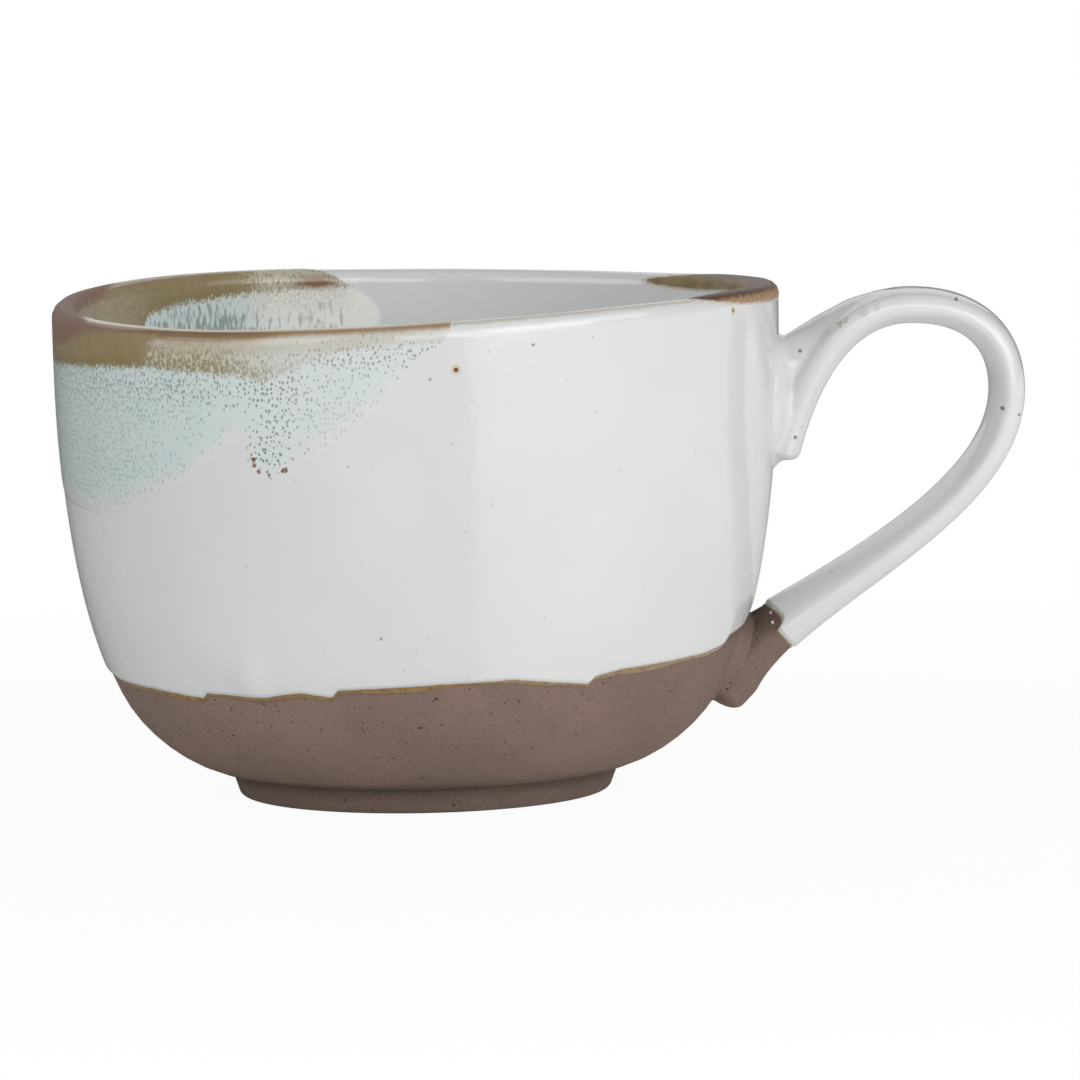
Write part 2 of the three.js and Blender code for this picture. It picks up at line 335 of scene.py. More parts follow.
def placeCamera():
    slope = math.radians(cameraView["slope"])
    spot = Vector((axisX, -cameraView["distance"] * math.cos(slope),
                   cameraView["height"] + cameraView["distance"] * math.sin(slope)))
    aim = Vector((axisX, 0, 0)) + Vector(cameraView["aim"])
    turn = (aim - spot).to_track_quat("-Z", "Y").to_matrix().to_4x4()
    lens = bpy.data.cameras.new("photo_camera")
    lens.lens = cameraView["lens"]
    lens.clip_end = 50
    camera = bpy.data.objects.new("photo_camera", lens)
    bpy.context.scene.collection.objects.link(camera)
    camera.matrix_world = Matrix.Translation(spot) @ turn @ Matrix.Rotation(
        math.radians(cameraView["roll"]), 4, "Z")
    bpy.context.scene.camera = camera


placeCamera()
print("camera placed")

# Bowl skin: a section of cubic curves, measured as a distance from the top of the lip
bowlShape = {
    "rimRadius": 0.0525,  # over the glaze, as the next
    "rimHeight": 0.072,
    "glaze": 0.00045,
    "bellyRadius": 0.0432,
    "bellyHeight": 0.0144,
    "bellySlope": 61,
    "bellyWall": 0.0042,
    "rimWall": 0.0027,
    "floor": 0.0052,
    "creaseRadius": 0.0282,
    "creaseHeight": 0.0036,
    "creaseSlope": 8,
    "undersideArms": (0.36, 0.28),
    "wallArms": (0.24, 0.38),
    "insideArms": (0.38, 0.24),
    "floorArms": (0.25, 0.5),
    "wave": 0.00093,  # the thrown rim rises and falls twice on its way round
    "waveAngle": 164,
    "tilt": 0.00057,  # and stands higher at the handle
    "lift": 0.00022,
}


def makeSkin():
    b = bowlShape
    slope = math.radians(b["bellySlope"])
    rim = b["rimRadius"] - b["glaze"]
    lip = b["rimWall"] / 2
    lipHeight = b["rimHeight"] - b["glaze"] - lip
    crease = (b["creaseRadius"], b["creaseHeight"])
    belly = (b["bellyRadius"], b["bellyHeight"])
    innerBelly = (belly[0] - b["bellyWall"] * math.sin(slope), belly[1] + b["bellyWall"] * math.cos(slope))
    floorMiddle = (0, b["creaseHeight"] + b["floor"])
    turn = np.linspace(0, math.pi, 200)
    back = b["bellySlope"] - 180
    return np.concatenate([
        bend(crease, b["creaseSlope"], belly, b["bellySlope"], b["undersideArms"]),
        bend(belly, b["bellySlope"], (rim, lipHeight), 90, b["wallArms"])[1:],
        np.stack([rim - lip + lip * np.cos(turn), lipHeight + lip * np.sin(turn)], 1)[1:],
        bend((rim - 2 * lip, lipHeight), -90, innerBelly, back, b["insideArms"])[1:],
        bend(innerBelly, back, floorMiddle, 180, b["floorArms"])[1:],
    ])


skin = makeSkin()[::-1]  # from the middle of the floor, over the lip, down to the crease at the foot
skinRun = runsOf(skin)
skinRun -= skinRun[skin[:, 1].argmax()]  # 0 on the lip, more outside, less inside
skinOut = leftOf(headings(skin, skinRun))
outside = skinRun >= 0


def onSkin(run, offset):
    spot = follow(run, skinRun, skin) + np.asarray(offset)[..., None] * follow(run, skinRun, skinOut)
    return np.maximum(spot[..., 0], 0), spot[..., 1]


def runAtHeight(height):  # on the outside
    return np.interp(-np.asarray(height), -skin[outside, 1], skinRun[outside])


def thrown(across, up, angle):
    b = bowlShape
    wave = b["wave"] * np.sin(2 * angle + math.radians(b["waveAngle"])) + b["tilt"] * np.cos(angle)
    wave = wave + b["lift"]
    height = up + wave * (across / b["rimRadius"]) * (up / b["rimHeight"]) ** 2
    return np.stack([axisX + across * np.cos(angle), across * np.sin(angle), height], 1)


def layOnSkin(piece, run, offset, angle):
    movePoints(piece, thrown(*onSkin(run, offset), angle))


def lumps(angle, run):  # slow unevenness left by the hands, about 1 at most
    return (0.5 * np.sin(3 * angle + 90 * run + 0.6) + 0.35 * np.sin(5 * angle - 160 * run + 2.1)
            + 0.25 * np.sin(8 * angle + 210 * run + 4.0) + 0.2 * np.sin(13 * angle - 120 * run + 1.2))


# Clay
clayLook = {
    "body": colour(132, 113, 103),
    "pink": colour(142, 119, 107),
    "grey": colour(115, 99, 90),
    "speck": colour(58, 45, 40),
    "pale": colour(160, 140, 126),
    # painted shade for the crease where the foot ring meets the bowl
    "crease": colour(86, 72, 64),
    "heel": colour(90, 74, 65),  # darker where the handle's glaze ends
    "drop": colour(225, 226, 224),
    "roughness": 0.82,
}
glazeDrops = [(50.5, 25.1, 0.24), (50.7, 23.9, 0.26)]  # from the axis, height and radius, in millimetres


def makeClay():
    material, flow, shader, place = startMaterial("bare_clay")
    depth, height = place.axis(1), place.axis(2)
    cloud = place.noise(0.09, 3)
    grain = place.noise(3.6, 3, 0.7)
    rings = place.stretched(0.15, 0.15, 1).noise(1.3, 2)
    fine = place.dots(1.0, -0.2, 0.25)
    large = place.dots(0.45, -0.13, 0.13, 0.04)
    specks = flow.math("MAXIMUM", fine * 0.7, large * 0.9)
    tone = layered(
        clayLook["body"], clayLook,
        (cloud.step(0.35, 0.7), "pink"),
        (((rings - 0.5) * 0.9 + height.step(9, 1) * 0.8).step(0.1, 0.9), "grey"),
        # painted shade: the clay darker in the crease over the foot ring
        (height.step(5.4, 3.8) * height.step(1.2, 3.3) * 0.5, "crease"),
        ((height + (cloud - 0.5) * 4).step(20.5, 25) * 0.75, "heel"),
        (grain.step(0.54, 0.78) * 0.5, "pale"),
        (grain.step(0.5, 0.24) * 0.6, "speck"),
        (specks, "speck"),
    )
    front = place.stretched(1, 0, 1)
    for distance, top, size in glazeDrops:
        spot = front.gapTo(sideSpot(distance, top)).step(size, 0.6 * size)
        tone = (spot * depth.step(-2, -4)).over(tone, clayLook["drop"])
    normal = (grain * 0.5 + rings * 0.35 - specks * 0.6).bump(0.55, 0.00012)
    plug(flow, shader, Base_Color=tone, Roughness=clayLook["roughness"] - specks * 0.15, Normal=normal)
    plug(flow, shader, Specular_IOR_Level=0.3)
    return material


clay = makeClay()

# Clay bowl and its foot ring
clayFineness = {"steps": 240, "rows": 70}


def makeBowl():
    runs = np.linspace(skinRun[-1], skinRun[0], clayFineness["rows"])
    profile = [(0, bowlShape["creaseHeight"]), *zip(*onSkin(runs, 0))]
    bowl = spinPiece("clay_bowl", profile, clayFineness["steps"])
    spots = points(bowl)
    movePoints(bowl, thrown(fromAxis(spots), spots[:, 2], anglesOf(bowl)))
    finishPiece(bowl, clay, "clay", "bowl")


footShape = {
    "tableRadius": 0.0264,
    "wall": 0.0052,
    "outerEdge": 0.0011,
    "innerEdge": 0.0008,
    "step": 0.0001,  # of the bowl over the ring
    "sink": 0.0004,  # of the ring into the bowl
    "waver": 0.00012,
}


def arc(middle, radius, start, end, count=7):
    turn = np.radians(np.linspace(start, end, count))
    return [(middle[0] + radius * math.cos(t), middle[1] + radius * math.sin(t)) for t in turn]


def makeFootRing():
    f = footShape
    top = bowlShape["creaseHeight"]
    inside = f["tableRadius"] - f["wall"]
    lean = math.degrees(math.atan2(bowlShape["creaseRadius"] - f["tableRadius"], top))
    profile = [
        (inside, top + f["sink"]),
        *arc((inside + f["innerEdge"], f["innerEdge"]), f["innerEdge"], 180, 270),
        *arc((f["tableRadius"] - f["outerEdge"] / 3, f["outerEdge"]), f["outerEdge"], 270, 360 - lean),
        (bowlShape["creaseRadius"] - f["step"], top),
        (bowlShape["creaseRadius"] - f["sink"], top + f["sink"]),
        (inside, top + f["sink"]),
    ]
    ring = spinPiece("foot_ring_clay", profile, clayFineness["steps"])
    spots = points(ring)
    angle = anglesOf(ring)
    worn = f["waver"] * np.sin(5 * angle + 1) * np.clip(spots[:, 2] / top, 0, 1)
    spots[:, 0] += worn * np.cos(angle)
    spots[:, 1] += worn * np.sin(angle)
    movePoints(ring, spots)
    finishPiece(ring, clay, "clay", "foot_ring")


makeBowl()
makeFootRing()

# White glaze
glazeLook = {
    "white": colour(231, 232, 231),
    "cool": colour(227, 229, 229),
    "speck": colour(150, 138, 126),
    "rust": colour(126, 84, 40),
    "halo": colour(214, 196, 160),
    "thin": colour(206, 190, 174),  # where the glaze draws back from an edge
    "amber": colour(158, 130, 90),
    "burnt": colour(138, 110, 78),
    "streak": colour(168, 128, 108),
    "mark": colour(110, 88, 72),
    "roughness": 0.1,
    "amberWidth": 0.00068,
}
rustMarks = [  # angle from the handle, height, and radius in millimetres
    (276.0, 0.0655, 0.45), (288.1, 0.0681, 0.2), (329.2, 0.0695, 0.42),
]


def onWall(angle, height):
    across, up = onSkin(runAtHeight(height), bowlShape["glaze"])
    return thrown(np.array([across]), np.array([up]), np.array([math.radians(angle)]))[0]


def whiteTone(flow, place):
    tone = place.noise(0.05, 2).step(0.3, 0.7).over(glazeLook["cool"], glazeLook["white"])
    dark = place.dots(0.26, -0.2, 0.085, 0.04)
    faint = place.dots(0.55, -0.1, 0.18, 0.12)
    tone = flow.math("MAXIMUM", dark * 0.7, faint * 0.24).over(tone, glazeLook["speck"])
    for angle, height, size in rustMarks:
        gap = place.gapTo(tuple(1000 * c for c in onWall(angle, height)))
        tone = layered(tone, glazeLook, (gap.step(2.2 * size, size) * 0.6, "halo"),
                       (gap.step(size, 0.5 * size), "rust"))
    return tone


def amberEdge(place, tone, edge, width):  # the thin edge of the glaze, browner in places
    amber = place.noise(1.1, 2).step(0.36, 0.7).over(glazeLook["amber"], glazeLook["burnt"])
    drawn = place.noise(0.5, 2)
    return (edge + (drawn - 0.5) * 0.25).step(width, -0.06).over(tone, amber)


def finishGlaze(flow, shader, place, tone, roughness, specular, ripple=0.1):
    normal = place.noise(0.35, 2).bump(ripple)
    plug(flow, shader, Base_Color=tone, Roughness=roughness, Normal=normal, Specular_IOR_Level=specular)


def makeWhite():
    material, flow, shader, place = startMaterial("white_glaze")
    edge, lip = attributes(flow, "fromEdge", "fromLip")
    drawn = place.noise(0.5, 2)
    thin = flow.math("ABSOLUTE", lip - 0.6 + (drawn - 0.5) * 0.8).step(0.6, 0.2) * 0.55
    tone = thin.over(whiteTone(flow, place), glazeLook["thin"])
    tone = amberEdge(place, tone, edge, 0.16)
    finishGlaze(flow, shader, place, tone, glazeLook["roughness"], 0.8, 0.12)
    return material


white = makeWhite()

# The white coat: from its wavering lower edge up the wall, over the lip and down over the floor
glazeLine = [  # angle round the bowl from the handle, height
    (0, 0.0282), (6, 0.0255), (11, 0.0227), (26, 0.0216), (48, 0.0211), (63, 0.0198), (64.5, 0.0207),
    (88, 0.0208), (117, 0.0194), (118.5, 0.0203), (146, 0.0199), (171, 0.0189), (186, 0.0192),
    (197, 0.0185), (212, 0.0186), (226.3, 0.0181), (227.6, 0.0189), (241, 0.019), (247.7, 0.0197),
    (253.6, 0.0191), (254.8, 0.0202), (274, 0.0209), (286, 0.0211), (300.6, 0.0196), (301.6, 0.0206),
    (307, 0.0213), (330, 0.0217), (336.8, 0.0221), (337.6, 0.0225), (338.6, 0.0233), (347, 0.024),
    (353, 0.0262), (360, 0.0282),
]
coatShape = {
    "steps": 720,
    "meanEdge": 0.0203,  # height that the edge wavers about
    "film": 0.00012,  # thickness of the amber edge
    "under": 0.0003,  # how deep the coat's inner side lies in the clay
    "roll": (-0.00005, 0.0006),  # run over which the edge rises to full thickness
    "fade": 0.024,  # height over which the edge's waver dies away
    "lump": 0.00009,
    "lumpFrom": (0.001, 0.006),  # above the edge
    "swell": (238.6, 0.0226, 3.4, 0.0032, 0.0008),  # a drop: angle, height, half width, half height, rise
    "edgeRows": (0.15, 0.5, 1.0),  # shares of the amber edge
    "rollRows": (0.0001, 0.0002, 0.00032, 0.0005, 0.0008, 0.0013, 0.0021, 0.0034, 0.0054),
    "wallRows": 26,
    "lipRows": 17,
    "lipRun": 0.0034,
    "insideRows": 34,
    "underRows": 18,
}


def glazeEdge(angle):  # height of the white glaze's lower edge, corners a little rounded
    turn = np.linspace(0, 360, 2881)  # eight steps to a degree
    height = reading(glazeLine, turn)
    reach = np.arange(-6, 7)
    weight = np.exp(-(reach / 2.5) ** 2)
    rounded = sum(w * np.roll(height[:-1], k) for k, w in zip(reach, weight)) / weight.sum()
    return np.interp(np.degrees(angle) % 360, turn[:-1], rounded, period=360)


def amberWidth(angle):  # uneven, and widest under the drop
    return glazeLook["amberWidth"] * (1 + 0.35 * np.sin(7 * angle + 1) + 0.3 * np.sin(16 * angle + 2.5)
                                      + 0.5 * np.exp(-((np.degrees(angle) - 236) / 4) ** 2))


def makeCoat():
    c = coatShape
    meanEdge = runAtHeight(c["meanEdge"])
    amber = glazeLook["amberWidth"]
    lipEdge = c["lipRun"]
    rollEnd = meanEdge - c["rollRows"][-1]
    runs = np.concatenate([
        [meanEdge + amber],
        meanEdge + amber * (1 - np.array(c["edgeRows"])),
        meanEdge - np.array(c["rollRows"]),
        np.linspace(rollEnd, lipEdge, c["wallRows"])[1:],
        np.linspace(lipEdge, -lipEdge, c["lipRows"])[1:],
        np.linspace(-lipEdge, skinRun[0], c["insideRows"])[1:],
    ])
    back = np.linspace(skinRun[0], meanEdge + amber, c["underRows"])
    thick = smoothStep(meanEdge - runs, *c["roll"]) * (bowlShape["glaze"] - c["film"]) + c["film"]
    thick[0] = -c["film"] / 2
    offsets = np.concatenate([thick, np.full(len(back), -c["under"])])
    runs = np.concatenate([runs, back])
    offsets[-1] = offsets[0]
    profile = list(zip(*onSkin(runs, offsets)))
    coat = spinPiece("white_coat", profile, c["steps"])
    row = rowsOf(coat, profile)
    angle = anglesOf(coat)
    run, offset = runs[row], offsets[row]
    height = np.clip((meanEdge - run) / c["fade"], 0, 1)
    waver = runAtHeight(glazeEdge(angle)) - meanEdge
    wider = (amberWidth(angle) / amber - 1) * np.clip(run - meanEdge, 0, None)
    placed = run + waver * (1 - height) ** 2 + wider
    turn, high, wide, tall, rise = c["swell"]
    drop = rise * np.exp(-((np.degrees(angle) - turn) / wide) ** 2 - ((run - runAtHeight(high)) / tall) ** 2)
    lump = c["lump"] * lumps(angle, run) * smoothStep(meanEdge - run, *c["lumpFrom"])
    layOnSkin(coat, placed, offset + (lump + drop) * (offset > 0), angle)
    keepAttribute(coat, "fromEdge", 1000 * (meanEdge - run - wider))
    keepAttribute(coat, "fromLip", 1000 * run)
    finishPiece(coat, white, "white_glaze", "body_glaze")


makeCoat()

# The two dips of a second glaze over the rim: thin skins lying on the white coat
dipLook = {
    "mint": colour(214, 228, 227),
    "fleck": colour(112, 130, 116),
    "khaki": colour(161, 143, 107),
    "olive": colour(138, 126, 84),
    "lace": colour(216, 213, 196),
    "cream": colour(200, 190, 168),
    "sand": colour(198, 187, 166),
    "tan": colour(150, 127, 95),
    "orange": colour(180, 147, 112),
    "line": colour(138, 107, 76),
    "beige": colour(206, 195, 178),
    "mauve": colour(142, 110, 97),
    # painted highlight colour for the inner lobe, whiter than the white glaze
    "pale": colour(246, 248, 243),
    "rust": colour(130, 86, 56),
    "brown": colour(100, 74, 60),
    "roughness": 0.12,
    "rustRoughness": 0.42,
}
dipShape = {
    "spacing": 0.00055,
    "raise": 0.00012,  # above the white coat
    "sink": 0.00002,  # of the border below it
    "shoulder": 1.6,  # millimetres over which the skin rises from its border
    "flatter": 0.6,  # share by which the skin is thinner inside the cup
    "flatFrom": (-1, -4),
    "border": 0.25,  # millimetres between the border's points
    "thickness": 0.0003,
}
leftDip = {  # angles from the handle, with millimetres from the top of the lip: more outside, less inside
    "outer": [
        (95.3, -7.2), (95.7, -5.8), (97, -4.2), (101, -2.1), (107, 0.3), (113, 6), (119, 13), (127, 19.5),
        (134, 23), (138.5, 20.5), (149, 24.5), (163, 27), (174, 25.5), (185, 27.8), (194.3, 28.2),
        (206.7, 28.6), (216.6, 27.4), (224.7, 24.6), (231.5, 21.9), (236.6, 19.2), (240.3, 16.4),
        (241.5, 16), (242.3, 19.2), (243, 21.2), (245.9, 22.4), (248.8, 21.6), (251.4, 19.6),
        (256.3, 17.2), (260.3, 14.8), (264.3, 11.7), (268.2, 8.8), (271.3, 5.8), (274, 3.4),
        (275.6, 2), (276.3, 0.2),
    ],
    "inner": [
        (95.3, -7.5), (95.8, -9.2), (97.5, -10.6), (101, -11.6), (107, -12.8), (125, -15.5), (150, -18),
        (185, -19), (215, -16), (240, -11), (262, -6), (272, -3.4), (275.6, -2), (276.3, -0.4),
    ],
    "khaki": [
        (96, -4), (107, 0.3), (125, 5), (150, 7.5), (190.4, 8), (207.7, 6.9), (219.5, 6), (226.5, 6),
        (234.6, 6.3), (241.9, 6.6), (245.6, 7.5), (250.3, 6), (255.2, 4.3), (262, 3), (275, 0),
    ],
    "khakiInside": [
        (96, -2), (102, -2.6), (112, -3), (121, -3.6), (136, -4.4), (144, -5.4), (149, -12), (170, -16),
        (205, -14), (225, -6), (250, -4), (275, -2),
    ],
    "flecks": [  # angle, distance from the lip, spread of both, how many, how dark
        (200, 8.9, 34, 3, 1.4, 0.95), (198, 12, 34, 7, 1.25, 0.42), (203, 19, 25, 9, 1.2, 0.42),
        (229, 9, 13, 2.6, 1.3, 0.85),
        (248, 8.5, 8, 3.4, 1.3, 1), (248.3, 13, 3.8, 4, 1.3, 1), (246.6, 17.5, 3.6, 3.6, 1.3, 1),
        (262, 4.2, 12, 2.4, 1.35, 0.75), (256, 11.5, 9, 6, 0.9, 0.28), (130, -9, 20, 6, 1.3, 0.9),
        (107, -8, 9, 5, 1, 0.5), (158, 14, 30, 10, 1.1, 0.5),
    ],
    "mauve": [  # angle, with the band's lower edge outside and its edge towards the inside
        (145, 0, 0.4), (160, 4, -2), (188, 5.6, -2.2), (199, 4.2, -0.8), (206, 2.3, 0.5),
        (216, 1.5, 0.9), (221, 0.6, 1.4),
    ],
    "masks": {  # where each look sets in: angles, then distances from the lip
        "thin": ([(236, 254)], []),
        "coarse": ([(234, 246)], []),
        "near": ([(165, 185)], []),
        "sand": ([(127, 118), (98, 105)], [(-8, -3.5), (0, -0.01)]),
        # painted highlight: inside this lobe the dip is painted whiter than the white glaze
        "lobeHighlight": ([(127, 113)], [(-1.8, -3.6)]),
        "hollow": ([(141, 151), (178, 152)], [(-0.6, -1.8)]),
    },
    "lace": (222.5, 229),  # the same outside, at a slant, and inside
    "laceSlant": (0.62, 1.5),  # degrees to a millimetre, and from which distance
    "laceInside": (130, 106),
    "burnt": (107.5, 4.2, -2.2, 0.8),  # angle and its spread, distance and its spread
    "rust": [(243.8, 18.6), (243.9, 19.4), (244.6, 20.4), (246.4, 20.9), (248.6, 20.2), (249.2, 20.1)],
}
rightDip = {
    "outer": [
        (-43, 0.3), (-41.5, 0.8), (-39, 1.4), (-35, 2), (-28.4, 2.6), (-17.4, 3), (-5.6, 3.1), (6, 3.1),
        (20, 2.4), (28, 1.2), (34, 0.3), (39, -0.2), (43, -0.5), (45.5, -0.8), (46.5, -1.3),
    ],
    "inner": [
        (-43, 0.1), (-39, -0.8), (-32, -1.5), (-15, -2.2), (0, -2.6), (14, -2.7), (24, -2.9), (32, -3),
        (39, -2.8), (43, -2.6), (45.5, -2.3), (46.5, -1.8),
    ],
    "masks": {"far": ([(22, 40)], []), "corner": ([(24, 8), (-24, -8)], [])},
}


def roundTheRim(degrees):  # in millimetres
    return np.radians(degrees) * 1000 * bowlShape["rimRadius"]


def outlineOf(table):  # the border drawn finely, on the unrolled wall
    degrees, depth = np.array(table).T
    line = np.stack([roundTheRim(degrees), depth], 1)
    length = runsOf(line)
    return follow(np.linspace(0, length[-1], int(length[-1] / dipShape["border"])), length, line)


def makeDip(name, dip, wear=None):  # its attributes are for the look, and wear adds more of them
    d = dipShape
    start, end = dip["outer"][0][0], dip["outer"][-1][0]
    deepest = max(depth for turn, depth in dip["outer"]) - min(depth for turn, depth in dip["inner"])
    columns = int(math.radians(end - start) * bowlShape["rimRadius"] / d["spacing"])
    skinPiece = startGrid(name, columns, int(deepest / (1000 * d["spacing"])))
    across, up = points(skinPiece).T[:2]
    degrees = start + (end - start) * (across + 1) / 2
    top, bottom = reading(dip["outer"], degrees), reading(dip["inner"], degrees)
    crest = np.clip(0, bottom, top)
    lip = np.where(up < 0, crest + (crest - top) * up, crest + (bottom - crest) * up)
    around = roundTheRim(degrees)
    border = np.concatenate([outlineOf(dip["outer"]), outlineOf(dip["inner"])])
    edge = np.concatenate([
        np.sqrt(((part[:, None, :] - border[None, :, :]) ** 2).sum(2).min(1))
        for part in np.array_split(np.stack([around, lip], 1), 40)])
    angle, run = np.radians(degrees), lip / 1000
    lift = (d["raise"] + d["sink"]) * smoothStep(edge, 0, d["shoulder"]) - d["sink"]
    lift *= 1 - d["flatter"] * smoothStep(lip, *d["flatFrom"])
    layOnSkin(skinPiece, run, bowlShape["glaze"] + coatShape["lump"] * lumps(angle, run) + lift, angle)
    kept = {"around": around, "fromLip": lip, "fromEdge": edge}
    for look, (turns, depths) in dip["masks"].items():
        kept[look] = within(degrees, turns) * within(lip, depths)
    if wear:
        kept.update(wear(degrees, lip))
    for attributeName, values in kept.items():
        keepAttribute(skinPiece, attributeName, values)
    applyModifier(skinPiece, "SOLIDIFY", thickness=d["thickness"], offset=-1)
    return skinPiece


def leftWear(degrees, lip):
    crowd, dark, total = np.zeros(len(lip)), np.zeros(len(lip)), np.full(len(lip), 1e-6)
    for angle, place, wide, deep, many, strength in leftDip["flecks"]:
        here = np.exp(-((degrees - angle) / wide) ** 2 - ((lip - place) / deep) ** 2)
        crowd = np.maximum(crowd, many * here)
        dark += here * strength
        total += here
    step = roundTheRim(1)
    rust = [np.hypot((degrees - angle) * step, lip - place) for angle, place in leftDip["rust"]]
    turn, low, high = np.array(leftDip["mauve"]).T
    khaki = [reading(leftDip[name], degrees) for name in ("khaki", "khakiInside")]
    slant, start = leftDip["laceSlant"]
    lace = smoothStep(degrees + slant * (lip - start), *leftDip["lace"])
    angle, wide, place, deep = leftDip["burnt"]
    return {
        "khaki": np.minimum(khaki[0] - lip, lip - khaki[1]),
        "crowd": crowd,
        "dark": dark / total,
        "rust": np.min(rust, 0),
        "lace": np.where(lip > 0, lace, smoothStep(degrees, *leftDip["laceInside"])),
        "mauve": np.minimum(np.interp(degrees, turn, low) - lip, lip - np.interp(degrees, turn, high)),
        "burnt": np.exp(-((degrees - angle) / wide) ** 2 - ((lip - place) / deep) ** 2),
    }


def startDip(name):
    material, flow, shader, place = startMaterial(name)
    around, lip, edge = attributes(flow, "around", "fromLip", "fromEdge")
    sheet = flow.node("ShaderNodeCombineXYZ", {}, {0: around, 1: lip})  # the unrolled wall
    return material, flow, shader, place, sheet, lip, edge


def makeMint():
    material, flow, shader, place, sheet, lip, edge = startDip("mint_glaze")
    look = dipLook
    khaki, crowd, dark, rust, lace, thin = attributes(flow, "khaki", "crowd", "dark", "rust", "lace", "thin")
    mauve, coarse, near, sand = attributes(flow, "mauve", "coarse", "near", "sand")
    lobeHighlight, hollow, burnt = attributes(flow, "lobeHighlight", "hollow", "burnt")
    cloud = sheet.noise(0.16, 2)
    fine = sheet.stretched(1, 0.65, 1).noise(3, 2, 0.6)
    streak = sheet.stretched(1, 0.22, 1).noise(0.95, 3, 0.6)
    runs = sheet.stretched(1, 0.28, 1).noise(1.7, 2, 0.55)
    dash = sheet.stretched(1, 0.5, 1).noise(2.3, 2, 0.6)
    plain = whiteTone(flow, place)
    mint = edge.step(0.4, 3.5) * (cloud.step(0.25, 0.6) * 0.35 + 0.65) * (1 - coarse * 0.45)
    small = sheet.stretched(1, 0.65, 1).flecks(2.0, crowd * (1 - coarse) * near, 0.56, 0.35)
    large = sheet.stretched(1, 0.75, 1).flecks(1.7, crowd * coarse, 0.42, 0.16)
    drawn = (runs + (crowd - 1) * 0.3).step(0.45, 0.6) * (1 - near)
    spots = flow.math("MAXIMUM", flow.math("MAXIMUM", small, large), drawn * 0.8) * dark
    tone = layered(
        plain, look,
        (mint, "mint"),
        # painted highlight on the inner lobe
        (lobeHighlight * edge.step(0.3, 1.4), "pale"),
        (fine.step(0.48, 0.72) * crowd * near * (1 - coarse) * 0.24, "fleck"),
    )
    tone = (spots * 0.9).over(tone, (lip.step(7, 3) * coarse * 0.7).over(look["fleck"], look["line"]))
    tone = (sand * fine.step(0.35, 0.65) * 0.6).over(tone, look["sand"])
    # the khaki zone, olive at its border
    body = (khaki + (streak - 0.5) * 1.8 + (fine - 0.5) * 3).step(-0.5, 0.6)
    ragged = (lace + (fine - 0.5) * 1.2).step(0.25, 0.6) * lace.step(0, 0.2)
    pale = (dash + (khaki - 2.2) * 0.03 + thin * 0.09 + sand * 0.1).step(0.42, 0.6) * ragged
    worn = layered(
        look["khaki"], look,
        (cloud.step(0.4, 0.8) * 0.35, "olive"),
        (body * khaki.step(2.4, 0.4) * 0.75, "olive"),
        (streak.step(0.42, 0.66) * 0.6, "tan"),
        (fine.step(0.5, 0.7) * 0.5, "olive"),
        (pale * (0.8 - lip.step(4.2, 2.8) * lip.step(0.5, 1.5) * 0.3), "lace"),
        (hollow * (dash.step(0.35, 0.65) * 0.4), "sand"),
    )
    tone = (body * (1 - lace * 0.1 - thin * 0.6)).over(tone, worn)
    waver = (streak - 0.5) * 1.2  # of the bands along the lip
    outer = lip.step(0.45, 0.75)
    front = outer * ragged
    burnished = lip.step(1.5, 1.0) * (cloud.step(0.3, 0.6) * 0.4 + 0.5) * (1 - thin * 0.75)
    bare = (mauve + waver * 0.6).step(-0.3, 0.9)
    tone = layered(tone, look, (burnt * 1.2, "line"), ((lip + waver).step(3.6, 2.4) * front * 0.42, "beige"))
    band = thin.over(look["tan"], look["orange"])
    tone = ((lip + waver * 0.5 + thin * 0.8).step(2.4, 1.6) * front).over(tone, band)
    tone = layered(
        tone, look,
        (burnished * outer, "line"),
        (lip.step(0.7, 0.45) * lip.step(-1.6, -0.7) * near, "cream"),
    )
    tone = (bare * 0.92).over(tone, (fine.step(0.45, 0.7) * 0.45).over(look["mauve"], look["brown"]))
    tone = rust.step(0.5, 0.25).over(tone, look["rust"])
    tone = (edge + (fine - 0.5) * 0.5).step(0.4, 0.7).over(plain, tone)
    finishGlaze(flow, shader, place, tone, bare * 0.5 + look["roughness"], 0.6)
    return material


def makeRust():
    material, flow, shader, place, sheet, lip, edge = startDip("rust_glaze")
    look = dipLook
    far, corner = attributes(flow, "far", "corner")
    streak = sheet.stretched(1, 0.3, 1).noise(1.2, 3, 0.6)
    grain = sheet.noise(2.6, 2, 0.6)
    tone = layered(
        look["olive"], look,
        (sheet.noise(0.3, 2).step(0.35, 0.65), "khaki"),
        (far * 0.2 + edge.step(0.9, 0.2) * 0.4, "line"),
        (lip.step(-1.4, -0.3) * lip.step(2.2, 1.2) * (1 - far), "brown"),
        (lip.step(-1.4, -0.3) * corner * 0.35, "brown"),
        ((lip + (streak - 0.5) * 1.2).step(1.0, 1.7), "orange"),
        (grain.step(0.48, 0.72) * (0.75 - far * 0.4), "brown"),
    )
    halo = (edge.step(0.02, 0.4) * 0.6).over(whiteTone(flow, place), glazeLook["thin"])
    tone = (edge + (streak - 0.5) * 0.3 + (grain - 0.5) * 0.4).step(0.45, 0.75).over(halo, tone)
    finishGlaze(flow, shader, place, tone, look["rustRoughness"], 0.3)
    return material


finishPiece(makeDip("left_dip", leftDip, leftWear), makeMint(), "mint_glaze", "left_dip_glaze")
finishPiece(makeDip("right_dip", rightDip), makeRust(), "rust_glaze", "right_dip_glaze")

